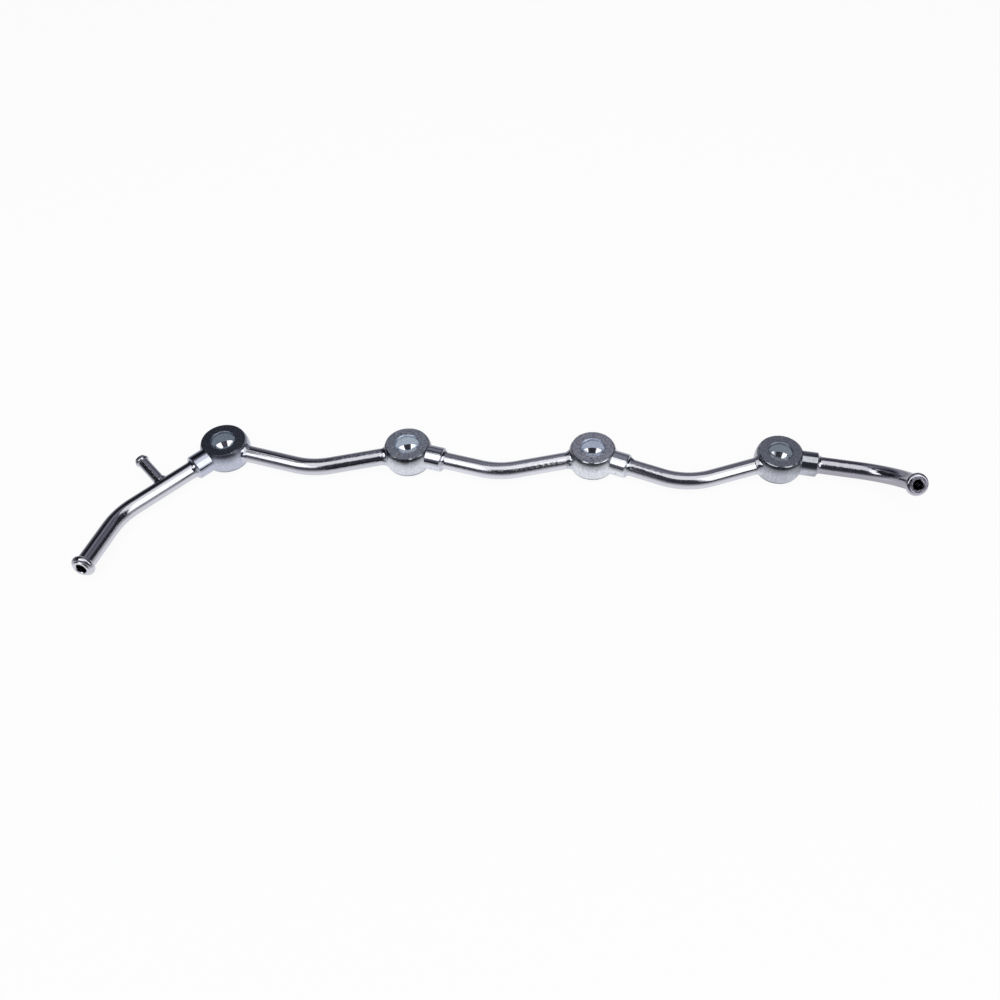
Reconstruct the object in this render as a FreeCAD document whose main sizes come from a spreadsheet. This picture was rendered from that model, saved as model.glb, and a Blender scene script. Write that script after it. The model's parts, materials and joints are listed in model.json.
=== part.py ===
import FreeCAD, Part
import math
import os
import re
import Sketcher

# Four-eye fuel pipe: banjo eyes in a row, brazed onto bent steel tube.
# Millimetres, +Z up along the bores, +X along the row from eye 1 to eye 4.
# The origin is the centre of the bore of eye 1, half-way up the eye.
# The part lies on the flat lower faces of its eyes.

doc = FreeCAD.newDocument("FuelPipe")
sheet = doc.addObject("Spreadsheet::Sheet", "Sizes")

SIZES = {
    # eyes
    "eyePitch": 110.0,  # bore to bore along the row
    "eyeDiameter": 29.4,  # spherical outside of the ring
    "eyeHeight": 14.8,  # between the two flat sealing faces
    "faceEdgeBreak": 0.3,  # bevel between face and ball
    "boreDiameter": 14.1,  # clears an M14 banjo bolt
    "boreChamfer": 0.5,
    "galleryDiameter": 19.0,  # fuel groove turned inside the bore
    "galleryHeight": 11.0,  # at its mouth
    "galleryFlankAngle": 45.0,  # its upper and lower sides slope, from the eye plane
    # necks, turned in one piece with the eyes
    "neckDiameter": 14.5,
    "neckLength": 22.2,  # bore axis to end face
    "neckChamfer": 0.4,
    "socketDepth": 7.5,  # how far a tube enters the neck
    "socketGap": 0.05,  # brazing gap on the radius
    "seatLip": 1.0,  # wall between gallery and tube end, opposite the neck
    # tube
    "tubeDiameter": 10.0,
    "tubeWall": 2.0,
    # link tubes, bowed to one side in the plane of the eyes
    "linkBendRadius": 40.0,
    "linkAngle": 15.0,  # links 1 and 2, between tube and row
    "lastLinkAngle": 21.0,  # link 3 is bowed deeper
    # inlet tube, from the neck of eye 1
    "inletAngle": 132.5,  # degrees clockwise from +X, seen from above
    "inletBendStart": 62.5,  # bore axis to start of bend
    "inletBendRadius": 33.8,
    "inletBendAngle": 33.0,
    "inletRollAngle": 12.0,  # tilt of the bend out of the eye plane
    "inletTail": 33.0,  # end of bend to tip
    # outlet tube, from the neck of eye 4
    "outletAngle": 9.0,
    "outletBendStart": 46.0,
    "outletBendRadius": 28.8,
    "outletBendAngle": 78.0,
    "outletRollAngle": 141.0,
    "outletTail": 6.5,
    # rolled bead and tip of both hose ends
    "beadDiameter": 13.2,
    "beadWidth": 4.0,
    "beadSetback": 2.7,  # tip to middle of bead
    "tipChamfer": 0.4,
    # branch nipple on the inlet tube
    "nippleStation": 42.2,  # bore axis of eye 1 to nipple axis
    "nippleRiseAngle": 13.0,  # above the eye plane
    "nippleDiameter": 6.5,
    "nippleWall": 1.0,
    "nippleReach": 24.5,  # inlet tube axis to nipple tip
    "nippleBeadDiameter": 8.2,
    "nippleBeadWidth": 2.6,
    "nippleBeadSetback": 2.0,
    # braze fillets
    "neckBrazeHeight": 1.75,
    "neckBrazeLength": 3.0,
    "eyeBrazeHeight": 2.1,
    "eyeBrazeLength": 3.2,
    "nippleBrazeHeight": 1.0,
}

# Sizes that follow from the ones above.
DERIVED = {
    "ballRadius": "eyeDiameter / 2",
    "halfHeight": "eyeHeight / 2",
    "faceRadius": "sqrt(ballRadius ^ 2 - halfHeight ^ 2) - faceEdgeBreak",
    "shoulderHeight": "halfHeight - faceEdgeBreak",
    "shoulderRadius": "sqrt(ballRadius ^ 2 - shoulderHeight ^ 2)",
    "boreRadius": "boreDiameter / 2",
    "galleryRadius": "galleryDiameter / 2",
    "galleryHalf": "galleryHeight / 2",
    "galleryFlank": "(galleryRadius - boreRadius) * tan(galleryFlankAngle * 1 deg)",
    "neckRadius": "neckDiameter / 2",
    "tubeRadius": "tubeDiameter / 2",
    "tubeBoreRadius": "tubeRadius - tubeWall",
    "socketRadius": "tubeRadius + socketGap",
    "neckSeat": "neckLength - socketDepth",
    "ringSeat": "galleryRadius + seatLip",
    "beadHeight": "beadDiameter / 2 - tubeRadius",
    "nippleRadius": "nippleDiameter / 2",
    "nippleBoreRadius": "nippleRadius - nippleWall",
    "nippleBeadHeight": "nippleBeadDiameter / 2 - nippleRadius",
}

for row, (alias, value) in enumerate(SIZES.items(), start=1):
    sheet.set(f"A{row}", alias)
    sheet.set(f"B{row}", str(value))
    sheet.setAlias(f"B{row}", alias)
for row, (alias, formula) in enumerate(DERIVED.items(), start=1):
    sheet.set(f"D{row}", alias)
    sheet.set(f"E{row}", "=" + formula)
    sheet.setAlias(f"E{row}", alias)
doc.recompute()


def bound(text):
    # the words of a formula that are sizes, looked up in the sheet
    def cell(match):
        word = match.group(0)
        return "Sizes." + word if word in SIZES or word in DERIVED else word
    return re.sub(r"[A-Za-z]+", cell, text)


def size(text):
    # a formula's value now
    return float(sheet.evalExpression(bound(text)))


def newBody(name):
    body = doc.addObject("PartDesign::Body", name)
    body.Label = name
    return body


def newSketch(body, role, name):
    plane = next(f for f in body.Origin.OriginFeatures if f.Role == role)
    sketch = body.newObject("Sketcher::SketchObject", name)
    sketch.AttachmentSupport = [(plane, "")]
    sketch.MapMode = "FlatFace"
    return sketch


def constrain(sketch, kind, *where, to):
    # a dimension bound to the sheet
    index = sketch.addConstraint(Sketcher.Constraint(kind, *where, size(to)))
    sketch.setExpression(f"Constraints[{index}]", bound(to))


def arcBetween(start, end, radius):
    # arc from start to end, counter-clockwise if radius is positive
    chord = end - start
    middle = (start + end) / 2
    rise = math.sqrt(max(radius ** 2 - (chord.Length / 2) ** 2, 0))
    left = FreeCAD.Vector(-chord.y, chord.x, 0).normalize()
    centre = middle + left * math.copysign(rise, radius)
    first, last = (start, end) if radius > 0 else (end, start)
    angles = [math.atan2(p.y - centre.y, p.x - centre.x) for p in (first, last)]
    circle = Part.Circle(centre, FreeCAD.Vector(0, 0, 1), abs(radius))
    return Part.ArcOfCircle(circle, angles[0], angles[1])


def addOutline(sketch, corners):
    # closed outline; a corner's third entry is the radius of the arc that leaves it
    spots = [FreeCAD.Vector(size(c[0]), size(c[1]), 0) for c in corners]
    sides = []
    for index, corner in enumerate(corners):
        start = spots[index]
        end = spots[(index + 1) % len(spots)]
        if len(corner) == 2:
            side = sketch.addGeometry(Part.LineSegment(start, end), False)
            sides.append((side, 1, 2))
            continue
        radius = size(corner[2])
        side = sketch.addGeometry(arcBetween(start, end, radius), False)
        sides.append((side, 1, 2) if radius > 0 else (side, 2, 1))
    for index, (side, first, last) in enumerate(sides):
        after, afterFirst, _ = sides[(index + 1) % len(sides)]
        sketch.addConstraint(Sketcher.Constraint("Coincident", side, last, after, afterFirst))
        constrain(sketch, "DistanceX", side, first, to=corners[index][0])
        constrain(sketch, "DistanceY", side, first, to=corners[index][1])
        if len(corners[index]) == 3:
            constrain(sketch, "Radius", side, to=f"abs({corners[index][2]})")


def addCircle(sketch, radius):
    circle = Part.Circle(FreeCAD.Vector(0, 0, 0), FreeCAD.Vector(0, 0, 1), size(radius))
    index = sketch.addGeometry(circle, False)
    sketch.addConstraint(Sketcher.Constraint("Coincident", index, 3, -1, 1))
    constrain(sketch, "Radius", index, to=radius)


def turn(body, kind, sketch, axis):
    # full turn about the sketch's H_Axis or V_Axis; kind is Revolution or Groove
    feature = body.newObject("PartDesign::" + kind, sketch.Name + "Turned")
    feature.Profile = sketch
    feature.ReferenceAxis = (sketch, [axis])
    feature.Angle = 360
    return feature


def place(body, eye, yaw, roll="0", along="0"):
    # local X leaves the bore axis of an eye at yaw, rolled about itself
    rotation = FreeCAD.Rotation(size(yaw), 0, size(roll))
    centre = FreeCAD.Vector(size("eyePitch") * (eye - 1), 0, 0)
    body.Placement = FreeCAD.Placement(centre + rotation.multVec(
        FreeCAD.Vector(size(along), 0, 0)), rotation)


def makeEye(eye, neckYaw, tubeYaw):
    # ring, neck and bores in one piece; local X runs out along the neck
    body = newBody(f"eye_{eye}")
    ring = newSketch(body, "XZ_Plane", f"ring{eye}")
    addOutline(ring, [
        ("0", "-halfHeight"),
        ("faceRadius", "-halfHeight"),
        ("shoulderRadius", "-shoulderHeight", "ballRadius"),
        ("shoulderRadius", "shoulderHeight"),
        ("faceRadius", "halfHeight"),
        ("0", "halfHeight"),
    ])
    turn(body, "Revolution", ring, "V_Axis")

    neck = newSketch(body, "XZ_Plane", f"neck{eye}")
    addOutline(neck, [
        ("0", "0"),
        ("neckLength", "0"),
        ("neckLength", "neckRadius - neckChamfer"),
        ("neckLength - neckChamfer", "neckRadius"),
        ("0", "neckRadius"),
    ])
    turn(body, "Revolution", neck, "H_Axis")

    bore = newSketch(body, "XZ_Plane", f"bore{eye}")
    addOutline(bore, [
        ("0", "-halfHeight"),
        ("boreRadius + boreChamfer", "-halfHeight"),
        ("boreRadius", "-halfHeight + boreChamfer"),
        ("boreRadius", "-galleryHalf"),
        ("galleryRadius", "-galleryHalf + galleryFlank"),
        ("galleryRadius", "galleryHalf - galleryFlank"),
        ("boreRadius", "galleryHalf"),
        ("boreRadius", "halfHeight - boreChamfer"),
        ("boreRadius + boreChamfer", "halfHeight"),
        ("0", "halfHeight"),
    ])
    turn(body, "Groove", bore, "V_Axis")

    socket = newSketch(body, "XY_Plane", f"socket{eye}")
    addOutline(socket, steppedHole("neckSeat", "neckLength"))
    turn(body, "Groove", socket, "H_Axis")

    entry = newSketch(body, "XY_Plane", f"entry{eye}")
    addOutline(entry, steppedHole("ringSeat", "ballRadius"))
    entry.AttachmentOffset = FreeCAD.Placement(
        FreeCAD.Vector(0, 0, 0), FreeCAD.Rotation(size(f"{tubeYaw} - ({neckYaw})"), 0, 0))
    entry.setExpression("AttachmentOffset.Rotation.Angle",
                        bound(f"({tubeYaw} - ({neckYaw})) * 1 deg"))
    turn(body, "Groove", entry, "H_Axis")
    place(body, eye, neckYaw)
    return body


def steppedHole(seat, mouth):
    # tube socket down to its seat, then a passage as wide as the tube's bore
    return [
        ("0", "0"),
        (mouth, "0"),
        (mouth, "socketRadius"),
        (seat, "socketRadius"),
        (seat, "tubeBoreRadius"),
        ("0", "tubeBoreRadius"),
    ]


def makeTube(name, start, bendStart, bendRadius, bendTurn, tail):
    # hollow tube with one bend; local X is its first leg, XY the plane of the bend
    body = newBody(name)
    spine = newSketch(body, "XY_Plane", name + "Spine")
    angle = math.radians(size(bendTurn))
    radius = size(bendRadius)
    bend = FreeCAD.Vector(size(bendStart), 0, 0)
    centre = bend + FreeCAD.Vector(0, radius, 0)
    straight = FreeCAD.Vector(math.cos(angle), math.sin(angle), 0)
    bendEnd = centre + FreeCAD.Vector(straight.y, -straight.x, 0) * radius
    circle = Part.Circle(centre, FreeCAD.Vector(0, 0, 1), radius)
    spine.addGeometry([
        Part.LineSegment(FreeCAD.Vector(size(start), 0, 0), bend),
        Part.ArcOfCircle(circle, -math.pi / 2, -math.pi / 2 + angle),
        Part.LineSegment(bendEnd, bendEnd + straight * size(tail)),
    ], False)
    spine.addConstraint([
        Sketcher.Constraint("PointOnObject", 0, 1, -1),
        Sketcher.Constraint("PointOnObject", 0, 2, -1),
        Sketcher.Constraint("Tangent", 0, 2, 1, 1),
        Sketcher.Constraint("Tangent", 1, 2, 2, 1),
    ])
    constrain(spine, "DistanceX", 0, 1, to=start)
    constrain(spine, "DistanceX", 0, 2, to=bendStart)
    constrain(spine, "Radius", 1, to=bendRadius)
    constrain(spine, "Distance", 2, to=tail)
    angleIndex = spine.addConstraint(Sketcher.Constraint("Angle", 0, 1, 2, 1, angle))
    spine.setExpression(f"Constraints[{angleIndex}]", bound(f"({bendTurn}) * 1 deg"))

    section = newSketch(body, "YZ_Plane", name + "Section")
    addCircle(section, "tubeRadius")
    addCircle(section, "tubeBoreRadius")
    section.AttachmentOffset = FreeCAD.Placement(
        FreeCAD.Vector(0, 0, size(start)), FreeCAD.Rotation())
    section.setExpression("AttachmentOffset.Base.z", bound(start))
    pipe = body.newObject("PartDesign::AdditivePipe", name + "Pipe")
    pipe.Profile = section
    pipe.Spine = (spine, ["Edge1", "Edge2", "Edge3"])
    return body


def addHoseEnd(body, bendStart, bendRadius, bendTurn, tail):
    # bead and chamfered tip; both sketches have the tip as origin, X along the tail
    turnAngle = f"({bendTurn} * 1 deg)"
    tipX = f"{bendStart} + {bendRadius} * sin{turnAngle} + {tail} * cos{turnAngle}"
    tipY = f"{bendRadius} * (1 - cos{turnAngle}) + {tail} * sin{turnAngle}"
    arcRadius = "(beadWidth ^ 2 / 4 + beadHeight ^ 2) / (2 * beadHeight)"
    bead = newSketch(body, "XY_Plane", body.Name + "Bead")
    addOutline(bead, [
        ("-beadSetback - beadWidth / 2", "tubeRadius - tubeWall / 2"),
        ("-beadSetback - beadWidth / 2", "tubeRadius", f"-({arcRadius})"),
        ("-beadSetback + beadWidth / 2", "tubeRadius"),
        ("-beadSetback + beadWidth / 2", "tubeRadius - tubeWall / 2"),
    ])
    tip = newSketch(body, "XY_Plane", body.Name + "Tip")
    addOutline(tip, [
        ("-tipChamfer", "tubeRadius"),
        ("0", "tubeRadius - tipChamfer"),
        ("0", "tubeRadius"),
    ])
    addOutline(tip, [
        ("-tipChamfer", "tubeBoreRadius"),
        ("0", "tubeBoreRadius"),
        ("0", "tubeBoreRadius + tipChamfer"),
    ])
    for sketch, kind in ((bead, "Revolution"), (tip, "Groove")):
        sketch.AttachmentOffset = FreeCAD.Placement(
            FreeCAD.Vector(size(tipX), size(tipY), 0), FreeCAD.Rotation(size(bendTurn), 0, 0))
        sketch.setExpression("AttachmentOffset.Base.x", bound(tipX))
        sketch.setExpression("AttachmentOffset.Base.y", bound(tipY))
        sketch.setExpression("AttachmentOffset.Rotation.Angle", bound(turnAngle))
        turn(body, kind, sketch, "H_Axis")


def makeLink(link, seat, angle):
    # symmetric bow from its seat in one eye to the ring of the next
    bendTurn = f"2 * {angle}"
    leg = f"eyePitch / 2 / cos({angle} * 1 deg) - linkBendRadius * tan({angle} * 1 deg)"
    body = makeTube(f"link_tube_{link}", seat, leg, "linkBendRadius", bendTurn,
                    f"{leg} - ringSeat")
    place(body, link, f"-{angle}")
    return body


def makeInletTube():
    path = ("inletBendStart", "inletBendRadius", "inletBendAngle", "inletTail")
    body = makeTube("inlet_tube", "neckSeat", *path)
    addHoseEnd(body, *path)

    # port under the nipple, drilled through one wall
    port = newSketch(body, "XY_Plane", "port")
    addCircle(port, "nippleBoreRadius")
    tilt = "90 - nippleRiseAngle - inletRollAngle"
    port.AttachmentOffset = FreeCAD.Placement(
        FreeCAD.Vector(size("nippleStation"), 0, 0), FreeCAD.Rotation(0, 0, size(tilt)))
    port.setExpression("AttachmentOffset.Base.x", bound("nippleStation"))
    port.setExpression("AttachmentOffset.Rotation.Angle", bound(f"({tilt}) * 1 deg"))
    hole = body.newObject("PartDesign::Pocket", "portHole")
    hole.Profile = port
    hole.Reversed = True
    hole.setExpression("Length", bound("tubeDiameter"))
    place(body, 1, "-inletAngle", "inletRollAngle")
    return body


def makeOutletTube():
    path = ("outletBendStart", "outletBendRadius", "outletBendAngle", "outletTail")
    body = makeTube("outlet_tube", "neckSeat", *path)
    addHoseEnd(body, *path)
    place(body, 4, "-outletAngle", "outletRollAngle")
    return body


def cutSaddle(body):
    # hollows the foot to sit on the inlet tube, whose axis is local X
    saddle = newSketch(body, "YZ_Plane", body.Name + "Saddle")
    addCircle(saddle, "tubeRadius")
    cut = body.newObject("PartDesign::Pocket", body.Name + "SaddleCut")
    cut.Profile = saddle
    cut.Type = "ThroughAll"
    cut.SideType = "Symmetric"
    place(body, 1, "-inletAngle", "180 - nippleRiseAngle", "nippleStation")


def makeNipple():
    # short beaded stub; its axis is local Y
    body = newBody("branch_nipple")
    arcRadius = "(nippleBeadWidth ^ 2 / 4 + nippleBeadHeight ^ 2) / (2 * nippleBeadHeight)"
    beadBack = "nippleReach - nippleBeadSetback - nippleBeadWidth / 2"
    beadFront = "nippleReach - nippleBeadSetback + nippleBeadWidth / 2"
    section = newSketch(body, "XY_Plane", "nippleSection")
    addOutline(section, [
        ("nippleBoreRadius", "0"),
        ("nippleRadius", "0"),
        ("nippleRadius", beadBack, arcRadius),
        ("nippleRadius", beadFront),
        ("nippleRadius", "nippleReach"),
        ("nippleBoreRadius", "nippleReach"),
    ])
    turn(body, "Revolution", section, "V_Axis")
    cutSaddle(body)
    return body


def makeNippleBraze():
    body = newBody("braze_nipple")
    section = newSketch(body, "XY_Plane", "nippleBrazeSection")
    addOutline(section, [
        ("nippleRadius", "0"),
        ("nippleRadius + nippleBrazeHeight", "0"),
        ("nippleRadius + nippleBrazeHeight", "tubeRadius"),
        ("nippleRadius", "tubeRadius + nippleBrazeHeight"),
    ])
    turn(body, "Revolution", section, "V_Axis")
    cutSaddle(body)
    return body


def concave(height, length):
    # radius of the hollow of a fillet that runs out tangent to the tube
    return f"({length} ^ 2 + {height} ^ 2) / (2 * {height})"


def makeNeckBraze(eye, yaw):
    body = newBody(f"braze_neck_{eye}")
    section = newSketch(body, "XY_Plane", f"neckBraze{eye}")
    addOutline(section, [
        ("neckLength", "tubeRadius"),
        ("neckLength + neckBrazeLength", "tubeRadius",
         f"-({concave('neckBrazeHeight', 'neckBrazeLength')})"),
        ("neckLength", "tubeRadius + neckBrazeHeight"),
    ])
    turn(body, "Revolution", section, "H_Axis")
    place(body, eye, yaw)
    return body


def makeEyeBraze(eye, yaw):
    # lies on the ball of the ring, so its inner side is an arc about the bore's centre
    body = newBody(f"braze_eye_{eye}")
    foot = "sqrt(ballRadius ^ 2 - tubeRadius ^ 2)"
    crest = "sqrt(ballRadius ^ 2 - (tubeRadius + eyeBrazeHeight) ^ 2)"
    reach = f"({foot} + eyeBrazeLength - {crest})"
    section = newSketch(body, "XY_Plane", f"eyeBraze{eye}")
    addOutline(section, [
        (foot, "tubeRadius"),
        (f"{foot} + eyeBrazeLength", "tubeRadius", f"-({concave('eyeBrazeHeight', reach)})"),
        (crest, "tubeRadius + eyeBrazeHeight", "-ballRadius"),
    ])
    turn(body, "Revolution", section, "H_Axis")
    place(body, eye, yaw)
    return body


parts = [
    makeEye(1, "-inletAngle", "-linkAngle"),
    makeEye(2, "-linkAngle", "180 + linkAngle"),
    makeEye(3, "-lastLinkAngle", "180 + linkAngle"),
    makeEye(4, "-outletAngle", "180 + lastLinkAngle"),
    makeInletTube(),
    makeLink(1, "ringSeat", "linkAngle"),
    makeLink(2, "neckSeat", "linkAngle"),
    makeLink(3, "neckSeat", "lastLinkAngle"),
    makeOutletTube(),
    makeNipple(),
    makeNippleBraze(),
    makeNeckBraze(1, "-inletAngle"),
    makeNeckBraze(2, "-linkAngle"),
    makeNeckBraze(3, "-lastLinkAngle"),
    makeNeckBraze(4, "-outletAngle"),
    makeEyeBraze(1, "-linkAngle"),
    makeEyeBraze(2, "180 + linkAngle"),
    makeEyeBraze(3, "180 + linkAngle"),
    makeEyeBraze(4, "180 + lastLinkAngle"),
]
doc.recompute()

for item in doc.Objects:
    if "Invalid" in item.State or "Error" in item.State:
        raise RuntimeError(f"{item.Label} failed: {item.State}")

os.makedirs("parts", exist_ok=True)
for part in parts:
    if part.Shape.isNull() or not part.Shape.isValid():
        raise RuntimeError(f"{part.Label} has no valid shape")
    part.Shape.exportStep(f"parts/{part.Label}.step")
    print(part.Label, len(part.Shape.Solids), round(part.Shape.Volume, 1))
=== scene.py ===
import bpy
import bmesh
import json
import math
from mathutils import Matrix, Vector, noise


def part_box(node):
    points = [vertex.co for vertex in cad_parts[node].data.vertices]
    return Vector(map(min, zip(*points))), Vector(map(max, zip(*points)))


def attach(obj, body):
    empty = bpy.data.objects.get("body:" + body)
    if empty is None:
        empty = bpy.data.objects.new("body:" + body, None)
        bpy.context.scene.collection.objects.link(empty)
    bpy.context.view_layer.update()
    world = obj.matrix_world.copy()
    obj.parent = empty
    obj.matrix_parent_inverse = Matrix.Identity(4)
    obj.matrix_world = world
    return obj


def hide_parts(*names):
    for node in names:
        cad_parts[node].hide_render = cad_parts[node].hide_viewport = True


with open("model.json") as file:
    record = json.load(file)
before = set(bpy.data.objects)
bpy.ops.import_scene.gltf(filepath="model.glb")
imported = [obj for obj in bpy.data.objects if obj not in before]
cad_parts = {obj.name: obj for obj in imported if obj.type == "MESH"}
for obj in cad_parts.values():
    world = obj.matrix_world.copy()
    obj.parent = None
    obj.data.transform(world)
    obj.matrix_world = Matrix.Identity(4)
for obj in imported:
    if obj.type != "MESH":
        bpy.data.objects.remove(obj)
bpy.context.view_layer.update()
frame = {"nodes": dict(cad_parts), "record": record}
print("frame loaded:", len(frame["nodes"]), "nodes")

mm = 0.001
eyeNames = ["eye_1", "eye_2", "eye_3", "eye_4"]
mounts = {m["name"]: m for m in frame["record"]["mounts"]}
eyeCentres = [Vector(mounts[name + "_bore"]["pos_m"]) for name in eyeNames]
rowMiddle = (eyeCentres[0] + eyeCentres[-1]) / 2
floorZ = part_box("eye_1")[0].z


def colour(hexCode):
    # sRGB hex to the linear colour that Blender works in
    parts = [int(hexCode[i:i + 2], 16) / 255 for i in (1, 3, 5)]
    linear = [p / 12.92 if p <= 0.04045 else ((p + 0.055) / 1.055) ** 2.4 for p in parts]
    return (*linear, 1.0)


def addNode(tree, kind, *inputs, into=None, use=0, **settings):
    # one node, such as "Emission" or "Math MULTIPLY". Sockets or plain values feed its inputs in
    # order, None leaves one alone, and into names the rest. Gives the output socket to use.
    kind, _, operation = kind.partition(" ")
    node = tree.nodes.new("ShaderNode" + kind)
    if operation:
        node.operation = operation
    for key, value in settings.items():
        setattr(node, key, value)
    for key, value in [*enumerate(inputs), *(into or {}).items()]:
        if isinstance(value, bpy.types.NodeSocket):
            tree.links.new(value, node.inputs[key])
        elif value is not None:
            node.inputs[key].default_value = value
    return node.outputs[use] if node.outputs else node


def newMaterial(name):
    material = bpy.data.materials.new(name)
    material.use_nodes = True
    material.node_tree.nodes.clear()
    return material, material.node_tree


def softStep(tree, value, low, high):
    # 0 below low, 1 above high, with a soft edge between
    return addNode(tree, "MapRange", value, low, high, interpolation_type="SMOOTHSTEP")


def layColour(tree, share, below, above):
    # one colour laid over another where share is 1
    return addNode(tree, "Mix", share, into={6: below, 7: above}, use=2, data_type="RGBA")


# Camera

cameraSetup = {
    "elevation": 49.58,  # degrees above the eye plane
    "heading": 2.60,  # degrees left of +Y
    "roll": -0.754,
    "aim": Vector((27.7, -35.2, 0)) * mm,  # from the middle of the row
    "distance": 627.0 * mm,
    "focalPixels": 1092.45,
    "framePixels": 1000,
    "sensor": 36.0,  # mm
    "axisColumn": 544.6,  # pixel column where the lens axis meets the picture
}


def makeCamera(s):
    data = bpy.data.cameras.new("camera")
    data.sensor_width = s["sensor"]
    data.lens = s["focalPixels"] / s["framePixels"] * s["sensor"]
    data.shift_x = 0.5 - s["axisColumn"] / s["framePixels"]
    data.clip_start = 10 * mm
    camera = bpy.data.objects.new("camera", data)
    bpy.context.scene.collection.objects.link(camera)
    turn = (Matrix.Rotation(math.radians(s["heading"]), 4, "Z")
            @ Matrix.Rotation(math.radians(90 - s["elevation"]), 4, "X")
            @ Matrix.Rotation(math.radians(s["roll"]), 4, "Z"))
    back = turn.to_3x3() @ Vector((0, 0, 1))
    place = rowMiddle + s["aim"] + back * s["distance"]
    camera.matrix_world = Matrix.Translation(place) @ turn
    bpy.context.scene.camera = camera


makeCamera(cameraSetup)
print("camera placed")


# Studio

studio = {
    "floorSize": 4.0,
    "floorColour": "#e6e6e8",
    "floorRoughness": 0.25,
    "floorIor": 1.49,
    "floorLift": 0.93,  # share of plain white that the camera sees in the floor
    "glowColour": "#fdfdff",
    "floorGlow": 0.93,  # the lit table as the metal mirrors it from near by
    "glowShare": 0.75,  # how much of what the metal mirrors in the table is that glow
    "mirrorNear": 0.6,  # sine of the angle above which the table mirrors as plain white
    "mirrorFar": 0.12,  # what is left of that white at the horizon
    "eyeShadow": 13 * mm,  # radius of the shaded table under an eye, seen down its bore
    "shadedGlow": 0.6,  # share of the glow that is left there
    "outletShadow": [(0.362, -0.010), (0.380, -0.014), (0.398, -0.028)],  # also shaded in the metal
    "outletShadowEdge": (10 * mm, 20 * mm),
    "lampElevation": 62.0,  # degrees above the front horizon
    "lampDistance": 1.5,
    "lampSize": (2.4, 2.4),
    "lampRadiance": 1.5,
    "fill": 0.45,  # world light on matt surfaces
    "ceiling": 1.0,  # what bright metal mirrors where nothing stands
    "shadeColour": "#d6d6f0",  # tint of the dark things round the table
}

# What stands round the table and is mirrored in the metal. Azimuth is its middle and half width
# in degrees from the front (-Y), positive to the right. Elevation is in degrees above the
# horizon, soft is the width of its edge and light is its radiance.
surroundings = [
    {"name": "backWall", "azimuth": (180, 50), "elevation": (-20, 70), "slope": 0.3, "soft": 9,
     "light": 0.18},
    {"name": "sideWalls", "azimuth": (180, 80), "elevation": (-20, 56), "soft": 9, "light": 0.20},
    {"name": "backWallFoot", "azimuth": (180, 66), "elevation": (-20, 30), "soft": 9, "light": 0.12},
    {"name": "backWindow", "azimuth": (-176, 14), "elevation": (38, 72), "soft": 9, "light": 0.28},
    {"name": "backTable", "azimuth": (-168, 26), "elevation": (-20, 14), "soft": 12, "light": 0.40},
    {"name": "backPost", "azimuth": (160, 5), "elevation": (24, 60), "soft": 6, "light": 0.06},
    {"name": "backDoorway", "azimuth": (-150, 11), "elevation": (24, 64), "soft": 7, "light": 0.015},
    {"name": "backShelf", "azimuth": (104, 21), "elevation": (0, 48), "soft": 8, "light": 0.035},
    {"name": "leftWall", "azimuth": (-78, 30), "elevation": (-20, 42), "soft": 6, "light": 0.13},
    {"name": "leftCurtain", "azimuth": (-85, 29), "elevation": (22, 58), "slope": -0.55, "soft": 5,
     "light": 0.02},
    {"name": "leftRail", "azimuth": (-112, 34), "elevation": (66, 72), "soft": 4, "light": 0.04},
    {"name": "rightWallFoot", "azimuth": (64, 22), "elevation": (-20, 9), "soft": 8, "light": 0.22},
    {"name": "frontWall", "azimuth": (-2, 55), "elevation": (-20, 14), "soft": 7, "light": 0.07},
    {"name": "frontWallTop", "azimuth": (-4, 43), "elevation": (8, 29), "soft": 7, "light": 0.13},
    {"name": "greyDrape", "azimuth": (-4, 31), "elevation": (26, 52), "soft": 10, "light": 0.28},
    {"name": "leftSoftbox", "azimuth": (-57, 24), "elevation": (44, 66), "slope": -0.5, "soft": 6,
     "light": 1.7},
    {"name": "rightSoftbox", "azimuth": (57, 23), "elevation": (20, 68), "soft": 9, "light": 1.7},
    {"name": "rightWall", "azimuth": (36, 15), "elevation": (-20, 17), "soft": 10, "light": 0.05},
]

# What stands so near that each eye mirrors it elsewhere: upright sheets between two places on the
# floor, with the heights of their lower and upper edge, in metres, and their radiance.
nearScreens = [
    {"name": "darkScreen", "from": (0.006, -0.45), "to": (0.46, -0.43), "up": (0.10, 0.47),
     "light": 0.05},
    {"name": "darkScreenTop", "from": (0.04, -0.45), "to": (0.40, -0.43), "up": (0.47, 0.71),
     "light": 0.10},
    {"name": "darkScreenRight", "from": (0.33, -0.43), "to": (0.44, -0.42), "up": (0.46, 0.75),
     "light": 0.04},
    {"name": "whiteScreen", "from": (-0.59, -0.47), "to": (-0.014, -0.45), "up": (0.36, 0.57),
     "light": 1.7},
    {"name": "whiteScreenTop", "from": (-0.62, -0.47), "to": (-0.19, -0.455), "up": (0.57, 0.87),
     "light": 1.7},
    {"name": "blackScreen", "from": (-0.20, -0.12), "to": (-0.20, 0.30), "up": (0.08, 0.40),
     "light": 0.02},
    {"name": "darkCard", "from": (0.232, -0.022), "to": (0.258, -0.045), "up": (0.012, 0.045),
     "light": 0.07},
    {"name": "darkSill", "from": (0.070, -0.080), "to": (0.120, -0.080), "up": (floorZ, 0.02),
     "light": 0.02},
]


def makeStage(name, corners, material):
    # a flat sheet through four corners
    mesh = bpy.data.meshes.new(name)
    form = bmesh.new()
    form.faces.new([form.verts.new(c) for c in corners])
    form.to_mesh(mesh)
    form.free()
    sheet = bpy.data.objects.new(name, mesh)
    mesh.materials.append(material)
    bpy.context.scene.collection.objects.link(sheet)
    return sheet


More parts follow.
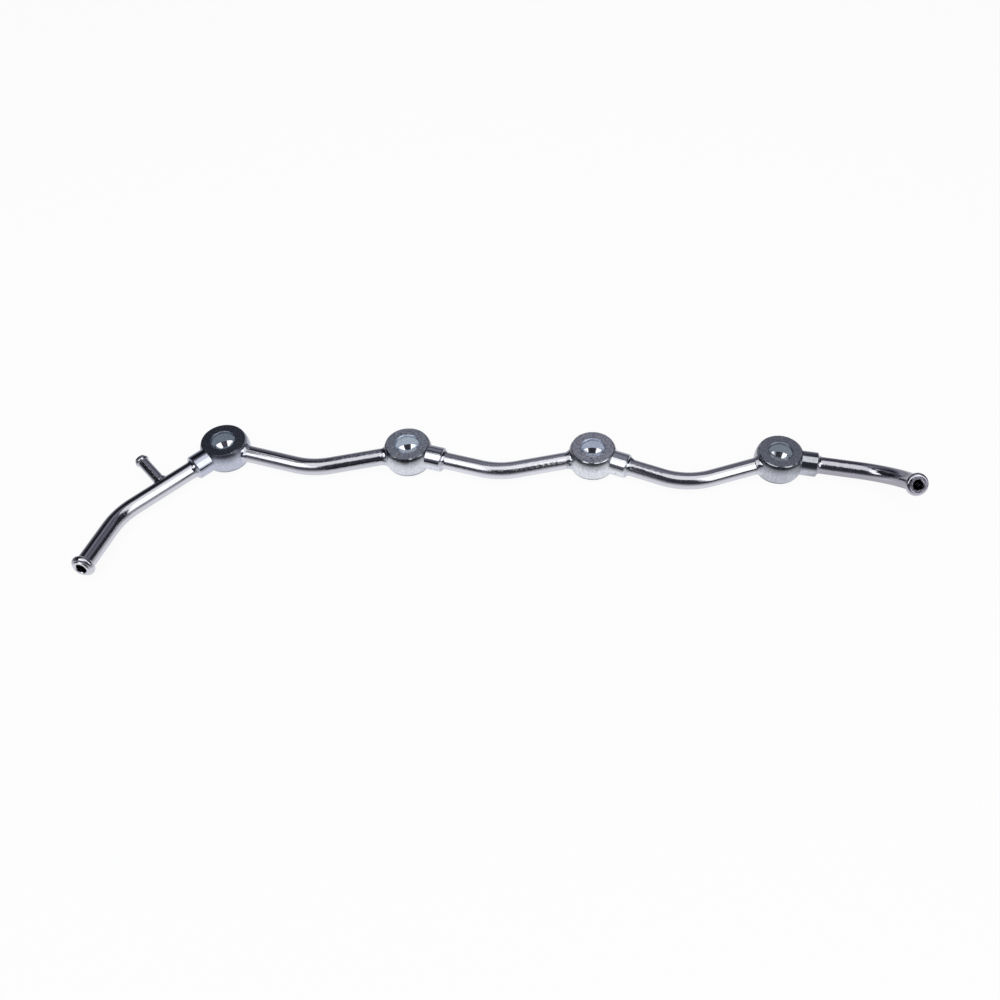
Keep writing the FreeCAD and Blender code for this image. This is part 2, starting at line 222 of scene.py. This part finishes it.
def makeScreens(s):
    # only the metal mirrors these sheets
    for screen in nearScreens:
        material, tree = newMaterial(screen["name"] + "Cloth")
        tint = s["shadeColour"] if screen["light"] < 1 else "#ffffff"
        addNode(tree, "OutputMaterial", addNode(tree, "Emission", colour(tint), screen["light"]))
        left, right = screen["from"], screen["to"]
        low, high = screen["up"]
        corners = [(*left, low), (*right, low), (*right, high), (*left, high)]
        sheet = makeStage(screen["name"], corners, material)
        sheet.visible_camera = False
        sheet.visible_diffuse = False
        sheet.visible_transmission = False
        sheet.visible_shadow = False


def nearestFoot(tree, place, feet):
    # the distance to the nearest of these places on the floor
    gaps = [addNode(tree, "VectorMath DISTANCE", place, (*foot, floorZ), use="Value") for foot in feet]
    nearest = gaps[0]
    for gap in gaps[1:]:
        nearest = addNode(tree, "Math MINIMUM", nearest, gap)
    return nearest


def floorMaterial(s):
    # white acrylic table: the camera sees it lifted towards plain white, with its shadow kept
    material, tree = newMaterial("whiteAcrylicTable")
    rays = addNode(tree, "LightPath").node.outputs
    place = addNode(tree, "TexCoord", use="Object")
    acrylic = addNode(tree, "BsdfPrincipled", into={
        "Base Color": colour(s["floorColour"]), "Roughness": s["floorRoughness"],
        "IOR": s["floorIor"]})
    plain = addNode(tree, "Emission", colour("#ffffff"), 1.0)
    # the table under an eye, seen down its bore, is in shadow
    clear = nearestFoot(tree, place, [centre.xy for centre in eyeCentres])
    clear = softStep(tree, clear, s["eyeShadow"] - mm, s["eyeShadow"])
    lift = addNode(tree, "Math MULTIPLY", clear, s["floorLift"])
    lift = addNode(tree, "Math MULTIPLY", rays["Is Camera Ray"], lift)
    seen = addNode(tree, "MixShader", lift, acrylic, plain)

    # metal mirrors it lit near by, and darker far off, where its gloss mirrors the dark room
    edgeOn = addNode(tree, "LayerWeight", 0.5, use="Facing")
    glow = addNode(tree, "MapRange", edgeOn, 1.0, 1.0 - s["mirrorNear"], s["mirrorFar"], 1.0)
    glow = addNode(tree, "Math MULTIPLY", glow, s["floorGlow"])
    outlet = softStep(tree, nearestFoot(tree, place, s["outletShadow"]), *s["outletShadowEdge"])
    shade = addNode(tree, "Math MINIMUM", clear, outlet)
    shade = addNode(tree, "Mix", shade, None, s["shadedGlow"], 1.0)
    glow = addNode(tree, "Math MULTIPLY", glow, shade)
    mirrored = addNode(tree, "Emission", colour(s["glowColour"]), glow)
    share = addNode(tree, "Math MULTIPLY", rays["Is Glossy Ray"], s["glowShare"])
    addNode(tree, "OutputMaterial", addNode(tree, "MixShader", share, seen, mirrored))
    return material


def addSurrounding(tree, light, level, elevation, s):
    # mixes one soft-edged panel into the light that comes from each way; with a slope its edges
    # rise or fall by so many degrees for each degree to the right
    centre, half = (math.radians(v) for v in s["azimuth"])
    low, high = (math.radians(v) for v in s["elevation"])
    edge = math.radians(s["soft"]) / 2
    ahead = (math.sin(centre), -math.cos(centre), 0)
    right = (math.cos(centre), math.sin(centre), 0)
    off = addNode(tree, "VectorMath DOT_PRODUCT", level, ahead, use="Value")
    off = addNode(tree, "Math ARCCOSINE", off)
    if "slope" in s:
        aside = addNode(tree, "VectorMath DOT_PRODUCT", level, right, use="Value")
        elevation = addNode(tree, "Math MULTIPLY_ADD", aside, -s["slope"], elevation)
    inside = softStep(tree, off, half + edge, half - edge)
    above = softStep(tree, elevation, low - edge, low + edge)
    below = softStep(tree, elevation, high + edge, high - edge)
    share = addNode(tree, "Math MULTIPLY", above, below)
    share = addNode(tree, "Math MULTIPLY", share, inside)
    return addNode(tree, "Mix", share, None, light, s["light"])


def makeWorld(s):
    world = bpy.data.worlds.new("world")
    bpy.context.scene.world = world
    world.use_nodes = True
    tree = world.node_tree
    tree.nodes.clear()
    way = addNode(tree, "TexCoord", use="Generated")
    level = addNode(tree, "VectorMath MULTIPLY", way, (1, 1, 0))
    level = addNode(tree, "VectorMath NORMALIZE", level)
    elevation = addNode(tree, "Math ARCSINE", addNode(tree, "SeparateXYZ", way, use="Z"))
    light = s["ceiling"]
    for panel in surroundings:
        light = addSurrounding(tree, light, level, elevation, panel)

    # the room is only for the metal: the camera sees plain white, matt surfaces an even fill
    rays = addNode(tree, "LightPath").node.outputs
    white = addNode(tree, "Math MAXIMUM", rays["Is Camera Ray"], rays["Is Transmission Ray"])
    plain = addNode(tree, "Mix", white, None, s["fill"], 1.0)
    strength = addNode(tree, "Mix", rays["Is Glossy Ray"], None, plain, light)
    tint = layColour(tree, strength, colour(s["shadeColour"]), colour("#ffffff"))
    addNode(tree, "OutputWorld", addNode(tree, "Background", tint, strength))


def makeLamp(s):
    light = bpy.data.lights.new("lamp", "AREA")
    light.shape = "RECTANGLE"
    light.size, light.size_y = s["lampSize"]
    light.energy = s["lampRadiance"] * math.pi * light.size * light.size_y
    lamp = bpy.data.objects.new("lamp", light)
    bpy.context.scene.collection.objects.link(lamp)
    turn = Matrix.Rotation(math.radians(90 - s["lampElevation"]), 4, "X")
    back = turn.to_3x3() @ Vector((0, 0, 1))
    lamp.matrix_world = Matrix.Translation(rowMiddle + back * s["lampDistance"]) @ turn
    lamp.visible_camera = False
    lamp.visible_glossy = False


def makeStudio(s):
    half = s["floorSize"] / 2
    x = rowMiddle.x
    makeStage("floor", [(x - half, -half, floorZ), (x + half, -half, floorZ),
                        (x + half, half, floorZ), (x - half, half, floorZ)], floorMaterial(s))
    makeLamp(s)
    makeScreens(s)
    makeWorld(s)


makeStudio(studio)
bpy.context.scene.view_settings.view_transform = "Standard"
print("studio built")


# Finishes

eyeSizes = {
    "ballRadius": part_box("eye_1")[1].y - eyeCentres[0].y,
    "halfHeight": mounts["eye_1_upper_face"]["pos_m"][2],
    "boreRadius": mounts["eye_1_bore"]["dims"]["r_mm"] * mm,
    "boreChamfer": 0.5 * mm,
    "grooveRadius": 9.6 * mm,
    "grooveFlat": 3.0 * mm,  # height above which the groove's wall slopes inwards
    "faceSlack": 0.02 * mm,  # how near to a face still counts as on it
    "boreSlack": 0.05 * mm,
}
turnedFinish = {
    "ballRoughness": 0.27,
    "neckRoughness": 0.12,
    "neckBlend": 0.3 * mm,
    "landRoughness": 0.42,  # the duller wall of the bore
    "grooveRoughness": 0.10,
    "groove": "#e6e8ee",
    "chamferRoughness": 0.50,
    "markWidth": 1.3 * mm,  # turning marks, drawn coarse enough to show
    "markDepth": 0.016 * mm,
    "neckDepth": 0.003 * mm,
    "streakTone": (0.5, -0.28),  # factor and offset that make light and dark streaks of the marks
    "ringWidth": 0.9 * mm,
    "ringDepth": 0.02 * mm,
    "speckWidth": 1.2 * mm,
    "ballSpeck": 0.02 * mm,
    "grainTone": (3.0, -1.5),
    "ballGrain": 0.22,
    "pitWidth": 1.9 * mm,
    "pitEdge": (0.70, 0.76),
    "pitColour": "#20222a",
    "rimHeight": 0.35 * mm,
    "rimWidth": 4.0 * mm,
    "rimColour": "#4a4d58",
    # painted shade: a dark band laid into the ball's colour just under the rim
    "paintedShadeHeight": 2.5 * mm,  # how far the dark band under the rim reaches down
    "paintedShadeTone": (1.6, -0.1),
}
# the eyes went through the bath in turn and differ: the first is dark and smooth on top, the two
# in the middle are paler and duller, and the third is pitted. Their colours are also partly painted
# light: the end eyes are painted darker and the middle ones lighter, most of all in the bores, for
# the light each of them mirrors
eyeFinishesAndShading = [
    {"ball": "#c6cad9", "face": "#a8b0be", "bore": "#909dad", "faceRoughness": 0.26,
     "speck": 0.06 * mm, "grain": 0.25, "streaks": 0.35, "pits": 0.0,
     "rim": (0.25, 0.45), "paintedShade": 0.7},
    {"ball": "#e3e6ee", "face": "#d6dee8", "bore": "#d9e7f8", "faceRoughness": 0.38,
     "speck": 0.20 * mm, "grain": 0.60, "streaks": 0.4, "pits": 0.15,
     "rim": (0.40, 0.50), "paintedShade": 1.1},
    {"ball": "#e9ecf2", "face": "#dfe1ec", "bore": "#d5e1f6", "faceRoughness": 0.40,
     "speck": 0.22 * mm, "grain": 0.60, "streaks": 0.4, "pits": 0.9,
     "rim": (0.50, 0.60), "paintedShade": 0.9},
    {"ball": "#c4c7d0", "face": "#c6ccd5", "bore": "#a0acb9", "faceRoughness": 0.31,
     "speck": 0.14 * mm, "grain": 0.45, "streaks": 1.0, "pits": 0.1,
     "rim": (0.46, 0.56), "paintedShade": 1.1},
]
drawnFinish = {
    "lineWidth": 0.55 * mm,  # draw lines along the tube, drawn coarse enough to show
    "lineDepth": 0.004 * mm,
    "rippleWidth": 7.0 * mm,  # slight unevenness of the wall
    "rippleDepth": 0.06 * mm,
    "mottleWidth": 2.4 * mm,
    "knockDepth": 0.11 * mm,  # deeper mottle over a knocked stretch
    "knockFade": 0.6,  # share of the stretch's half length at which it starts to fade
    "speckWidth": 1.0 * mm,
    "speckDepth": 0.01 * mm,
    "dullEdge": (0.50, 0.72),
    "dullRoughness": 0.15,  # what the dull specks add
}
# each tube was handled differently: the middle one is duller, its neighbours are knocked about
# over a stretch, given by its middle and half length along the row
tubeFinishes = {
    "inlet_tube": {"colour": "#d6d7de", "roughness": 0.10, "mottleDepth": 0.016 * mm},
    "link_tube_1": {"colour": "#d6d7de", "roughness": 0.11, "mottleDepth": 0.02 * mm,
                    "knocked": (0.083, 0.022)},
    "link_tube_2": {"colour": "#e4e5ec", "roughness": 0.17, "mottleDepth": 0.02 * mm,
                    "knocked": (0.192, 0.012)},
    "link_tube_3": {"colour": "#dadbe2", "roughness": 0.11, "mottleDepth": 0.02 * mm,
                    "knocked": (0.252, 0.016)},
    "outlet_tube": {"colour": "#cdccd6", "roughness": 0.12, "mottleDepth": 0.02 * mm,
                    "knocked": (0.364, 0.014)},
    "branch_nipple": {"colour": "#d0d1d9", "roughness": 0.12, "mottleDepth": 0.01 * mm},
}
brazeFinish = {
    "colour": "#d2d4de",
    "roughness": 0.10,
    "lumpWidth": 1.5 * mm,
    "lumpDepth": 0.06 * mm,
}


def lumps(tree, place, width, detail=2.0):
    # a pattern from 0 to 1 whose lumps are about width across
    return addNode(tree, "TexNoise", place, into={"Scale": 1 / width, "Detail": detail})


def toolMarks(tree, reach, width):
    # a pattern from 0 to 1 that changes only with reach, as the marks of a tool or a die do
    return addNode(tree, "TexNoise", into={"W": reach, "Scale": 1 / width, "Detail": 3.0},
                   noise_dimensions="1D")


def finishMetal(tree, heights, base, roughness):
    # heights are pairs of a pattern from 0 to 1 and its depth in metres
    total = 0.0
    for pattern, depth in heights:
        total = addNode(tree, "Math MULTIPLY_ADD", pattern, depth, total)
    bump = addNode(tree, "Bump", into={"Height": total, "Distance": 1.0})
    steel = addNode(tree, "BsdfPrincipled", into={
        "Base Color": base, "Metallic": 1.0, "Roughness": roughness, "Normal": bump})
    addNode(tree, "OutputMaterial", steel)


def turnedSteel(name, centre, neckWay, own, s):
    # eye and neck, turned from bar and zinc plated: a bright neck, a satin ball with tool marks
    # round the neck's axis, and matt sealing faces with rings round the bore and specks
    material, tree = newMaterial(name)
    place = addNode(tree, "TexCoord", use="Object")
    local = addNode(tree, "VectorMath SUBTRACT", place, centre)
    radius = addNode(tree, "VectorMath MULTIPLY", local, (1, 1, 0))
    radius = addNode(tree, "VectorMath LENGTH", radius, use="Value")
    reach = addNode(tree, "VectorMath LENGTH", local, use="Value")
    along = addNode(tree, "VectorMath DOT_PRODUCT", local, neckWay, use="Value")
    height = addNode(tree, "Math ABSOLUTE", addNode(tree, "SeparateXYZ", local, use="Z"))

    # where each surface is, from 0 to 1
    e = eyeSizes
    top = e["halfHeight"]
    onFlat = addNode(tree, "Math GREATER_THAN", height, top - e["faceSlack"])
    inside = addNode(tree, "Math LESS_THAN", radius, e["grooveRadius"])
    inBore = addNode(tree, "Math SUBTRACT", inside, onFlat)
    inGroove = addNode(tree, "Math GREATER_THAN", radius, e["boreRadius"] + e["boreSlack"])
    inGroove = addNode(tree, "Math MULTIPLY", inBore, inGroove)
    onChamfer = addNode(tree, "Math GREATER_THAN", height, top - e["boreChamfer"] - e["faceSlack"])
    onChamfer = addNode(tree, "Math MULTIPLY", inGroove, onChamfer)
    onSlope = addNode(tree, "Math GREATER_THAN", height, e["grooveFlat"])
    onSlope = addNode(tree, "Math MULTIPLY", inGroove, onSlope)
    onSlope = addNode(tree, "Math SUBTRACT", onSlope, onChamfer)
    onNeck = softStep(tree, reach, e["ballRadius"], e["ballRadius"] + s["neckBlend"])
    onBall = addNode(tree, "Math SUBTRACT", 1.0, onNeck)
    onRim = addNode(tree, "Math GREATER_THAN", height, top - s["rimHeight"])
    for elsewhere in (inside, onFlat):
        onBall = addNode(tree, "Math SUBTRACT", onBall, elsewhere)
        onBall = addNode(tree, "Math MAXIMUM", onBall, 0.0)
        onRim = addNode(tree, "Math SUBTRACT", onRim, elsewhere)
    onRim = addNode(tree, "Math SUBTRACT", onRim, onNeck)
    onRim = addNode(tree, "Math MAXIMUM", onRim, 0.0)

    rough = s["ballRoughness"]
    for where, roughness in ((onNeck, s["neckRoughness"]), (inBore, s["landRoughness"]),
                             (inGroove, s["grooveRoughness"]), (onChamfer, s["chamferRoughness"]),
                             (onFlat, own["faceRoughness"])):
        rough = addNode(tree, "Mix", where, None, rough, roughness)

    turning = toolMarks(tree, along, s["markWidth"])
    rings = toolMarks(tree, radius, s["ringWidth"])
    specks = lumps(tree, place, s["speckWidth"], 3.0)
    heights = []
    for pattern, where, depth in ((turning, onBall, s["markDepth"]), (turning, onNeck, s["neckDepth"]),
                                  (rings, onFlat, s["ringDepth"]), (specks, onFlat, own["speck"]),
                                  (specks, onBall, s["ballSpeck"])):
        heights.append((pattern, addNode(tree, "Math MULTIPLY", where, depth)))

    # each eye's ball, bore and face colour holds painted light as well as its plating
    base = colour(own["ball"])
    for where, hexCode in ((inBore, own["bore"]), (onSlope, s["groove"]), (onFlat, own["face"])):
        base = layColour(tree, where, base, colour(hexCode))
    streaks = addNode(tree, "Math MULTIPLY_ADD", turning, *s["streakTone"])
    streaks = addNode(tree, "Math MULTIPLY", streaks,
                      addNode(tree, "Math MULTIPLY", onBall, own["streaks"]))
    grain = addNode(tree, "Math MULTIPLY_ADD", specks, *s["grainTone"])
    grain = addNode(tree, "Math MULTIPLY", grain,
                    addNode(tree, "Mix", onFlat, None, s["ballGrain"], own["grain"]))
    shade = addNode(tree, "Math ADD", 1.0, addNode(tree, "Math ADD", streaks, grain))
    base = addNode(tree, "VectorMath SCALE", base, into={"Scale": shade})

    # painted shade just below the rim round the sealing face, standing in for the dark that the ball
    # mirrors there, and the rim itself darkened in patches
    paintedShade = softStep(tree, height, top - s["paintedShadeHeight"], top - s["paintedShadeHeight"] / 2)
    paintedShade = addNode(tree, "Math MULTIPLY", paintedShade,
                    addNode(tree, "Math MULTIPLY_ADD", specks, *s["paintedShadeTone"]))
    paintedShade = addNode(tree, "Math MULTIPLY", paintedShade,
                    addNode(tree, "Math MULTIPLY", onBall, own["paintedShade"]))
    paintedShade = addNode(tree, "Math MINIMUM", paintedShade, addNode(tree, "Math SUBTRACT", 1.0, onRim))
    rimPatches = softStep(tree, lumps(tree, place, s["rimWidth"]), *own["rim"])
    rimPatches = addNode(tree, "Math MULTIPLY", onRim, rimPatches)
    pits = softStep(tree, lumps(tree, place, s["pitWidth"], 1.0), *s["pitEdge"])
    pits = addNode(tree, "Math MULTIPLY", pits, own["pits"])
    # the painted shade and the rim's dark patches take the rim colour, the pits their own
    for where, hexCode in ((paintedShade, s["rimColour"]), (rimPatches, s["rimColour"]), (pits, s["pitColour"])):
        base = layColour(tree, where, base, colour(hexCode))
    finishMetal(tree, heights, base, rough)
    return material


def drawnSteel(name, acrossWay, own, s):
    # drawn tube, bright zinc plated: nearly a mirror, with faint lines along it, a slight ripple
    # and small dull specks in the plating
    material, tree = newMaterial(name)
    place = addNode(tree, "TexCoord", use="Object")
    across = addNode(tree, "VectorMath DOT_PRODUCT", place, acrossWay, use="Value")
    dull = softStep(tree, lumps(tree, place, s["speckWidth"], 3.0), *s["dullEdge"])
    rough = addNode(tree, "Math MULTIPLY_ADD", dull, s["dullRoughness"], own["roughness"])
    mottle = own["mottleDepth"]
    if "knocked" in own:
        middle, half = own["knocked"]
        away = addNode(tree, "Math SUBTRACT", addNode(tree, "SeparateXYZ", place, use="X"), middle)
        away = addNode(tree, "Math ABSOLUTE", away)
        knocked = softStep(tree, away, half, half * s["knockFade"])
        mottle = addNode(tree, "Math MULTIPLY_ADD", knocked, s["knockDepth"], mottle)
    heights = [
        (toolMarks(tree, across, s["lineWidth"]), s["lineDepth"]),
        (lumps(tree, place, s["rippleWidth"]), s["rippleDepth"]),
        (lumps(tree, place, s["mottleWidth"]), mottle),
        (dull, -s["speckDepth"]),
    ]
    finishMetal(tree, heights, colour(own["colour"]), rough)
    return material


def platedBraze(name, s):
    # braze fillet, plated with the rest: bright and lumpy where it froze
    material, tree = newMaterial(name)
    place = addNode(tree, "TexCoord", use="Object")
    heights = [(lumps(tree, place, s["lumpWidth"]), s["lumpDepth"])]
    finishMetal(tree, heights, colour(s["colour"]), s["roughness"])
    return material


def wayFrom(centre, name):
    # the level direction from an eye's centre to a ring round a tube that points at it
    points = [v.co for v in frame["nodes"][name].data.vertices]
    way = sum(points, Vector()) / len(points) - centre
    way.z = 0
    return way.normalized()


neckWays = [wayFrom(centre, f"braze_neck_{i + 1}") for i, centre in enumerate(eyeCentres)]
inletWay = Vector(mounts["inlet_hose_end"]["axis"])
outletWay = Vector(mounts["outlet_hose_end"]["axis"])
acrossWays = {  # square to the bend of each tube; the others bend level
    "inlet_tube": neckWays[0].cross(inletWay).normalized(),
    "outlet_tube": neckWays[3].cross(outletWay).normalized(),
    "branch_nipple": neckWays[0],
}
brazeSteel = platedBraze("platedBraze", brazeFinish)
for name, node in frame["nodes"].items():
    if name in eyeNames:
        i = eyeNames.index(name)
        steel = turnedSteel(f"turnedPlatedSteel{i + 1}", eyeCentres[i], neckWays[i],
                            eyeFinishesAndShading[i], turnedFinish)
    elif name.startswith("braze"):
        steel = brazeSteel
    else:
        steel = drawnSteel(f"drawnPlatedSteel_{name}", acrossWays.get(name, Vector((0, 0, 1))),
                           tubeFinishes[name], drawnFinish)
    node.data.materials[0] = steel
print("materials set")


# Braze fillets

brazeForm = {
    "turns": 72,  # steps round the tube
    "rows": 9,  # points from toe to crest
    "lining": 0.1 * mm,  # how far the closed inside reaches into the tube
    "lumps": 2.6 * mm,
    "swell": 0.34 * mm,  # how much a lump adds to or takes off the fillet
    "edgeSwell": 0.35,  # share of that at crest and toe, on top of what the middle gets
    "creep": 0.7 * mm,  # how unevenly the braze ran along the tube
    "creepTurns": 1.7,
}


def ringSection(name, centre, way):
    # how far the node's ring reaches along the tube and out from its axis
    spots = [v.co - centre for v in frame["nodes"][name].data.vertices]
    along = [spot.dot(way) for spot in spots]
    out = [(spot - way * a).length for spot, a in zip(spots, along)]
    return min(along), max(along), min(out), max(out), along[out.index(max(out))]


def makeFillet(name, centre, way, seed, s):
    # a lumpy fillet in place of the node's even ring: concave from toe to crest, closed inside
    low, toe, inner, outer, crest = ringSection(name, centre, way)
    side = Vector((0, 0, 1)).cross(way)
    length, rise = toe - crest, outer - inner
    section = []
    for row in range(s["rows"]):
        t = row / (s["rows"] - 1) * math.pi / 2
        section.append((toe - length * math.sin(t), inner + rise * (1 - math.cos(t))))
    section += [(low, inner - s["lining"]), (toe, inner - s["lining"])]
    form = bmesh.new()
    points = [form.verts.new(centre + way * a + side * r) for a, r in section]
    edges = [form.edges.new((a, b)) for a, b in zip(points, points[1:] + points[:1])]
    bmesh.ops.spin(form, geom=points + edges, cent=centre, axis=way, angle=2 * math.pi,
                   steps=s["turns"], use_merge=True)
    for point in form.verts:
        spot = point.co - centre
        a = spot.dot(way)
        out = spot - way * a
        if out.length < inner - s["lining"] / 2:
            continue
        share = (a - crest) / length  # 0 at the crest, 1 at the toe
        middle = math.sin(math.pi * min(max(share, 0), 1))
        swell = noise.noise(point.co / s["lumps"] + Vector((seed, 0, 0))) * s["swell"]
        creep = noise.noise(out.normalized() * s["creepTurns"] + Vector((0, seed, 0))) * s["creep"]
        reach = max(out.length + swell * (s["edgeSwell"] + middle), inner)  # never inside the tube
        point.co = centre + way * (a + creep * max(share, 0)) + out.normalized() * reach
    bmesh.ops.recalc_face_normals(form, faces=form.faces)
    mesh = bpy.data.meshes.new(name + "_fillet")
    form.to_mesh(mesh)
    form.free()
    mesh.shade_smooth()
    mesh.materials.append(brazeSteel)
    piece = bpy.data.objects.new(name + "_fillet", mesh)
    bpy.context.scene.collection.objects.link(piece)
    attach(piece, "root")
    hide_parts(name)


for i, centre in enumerate(eyeCentres):
    makeFillet(f"braze_neck_{i + 1}", centre, neckWays[i], 3.7 + i, brazeForm)
    makeFillet(f"braze_eye_{i + 1}", centre, wayFrom(centre, f"braze_eye_{i + 1}"), 11.3 + i,
               brazeForm)
print("braze fillets made")
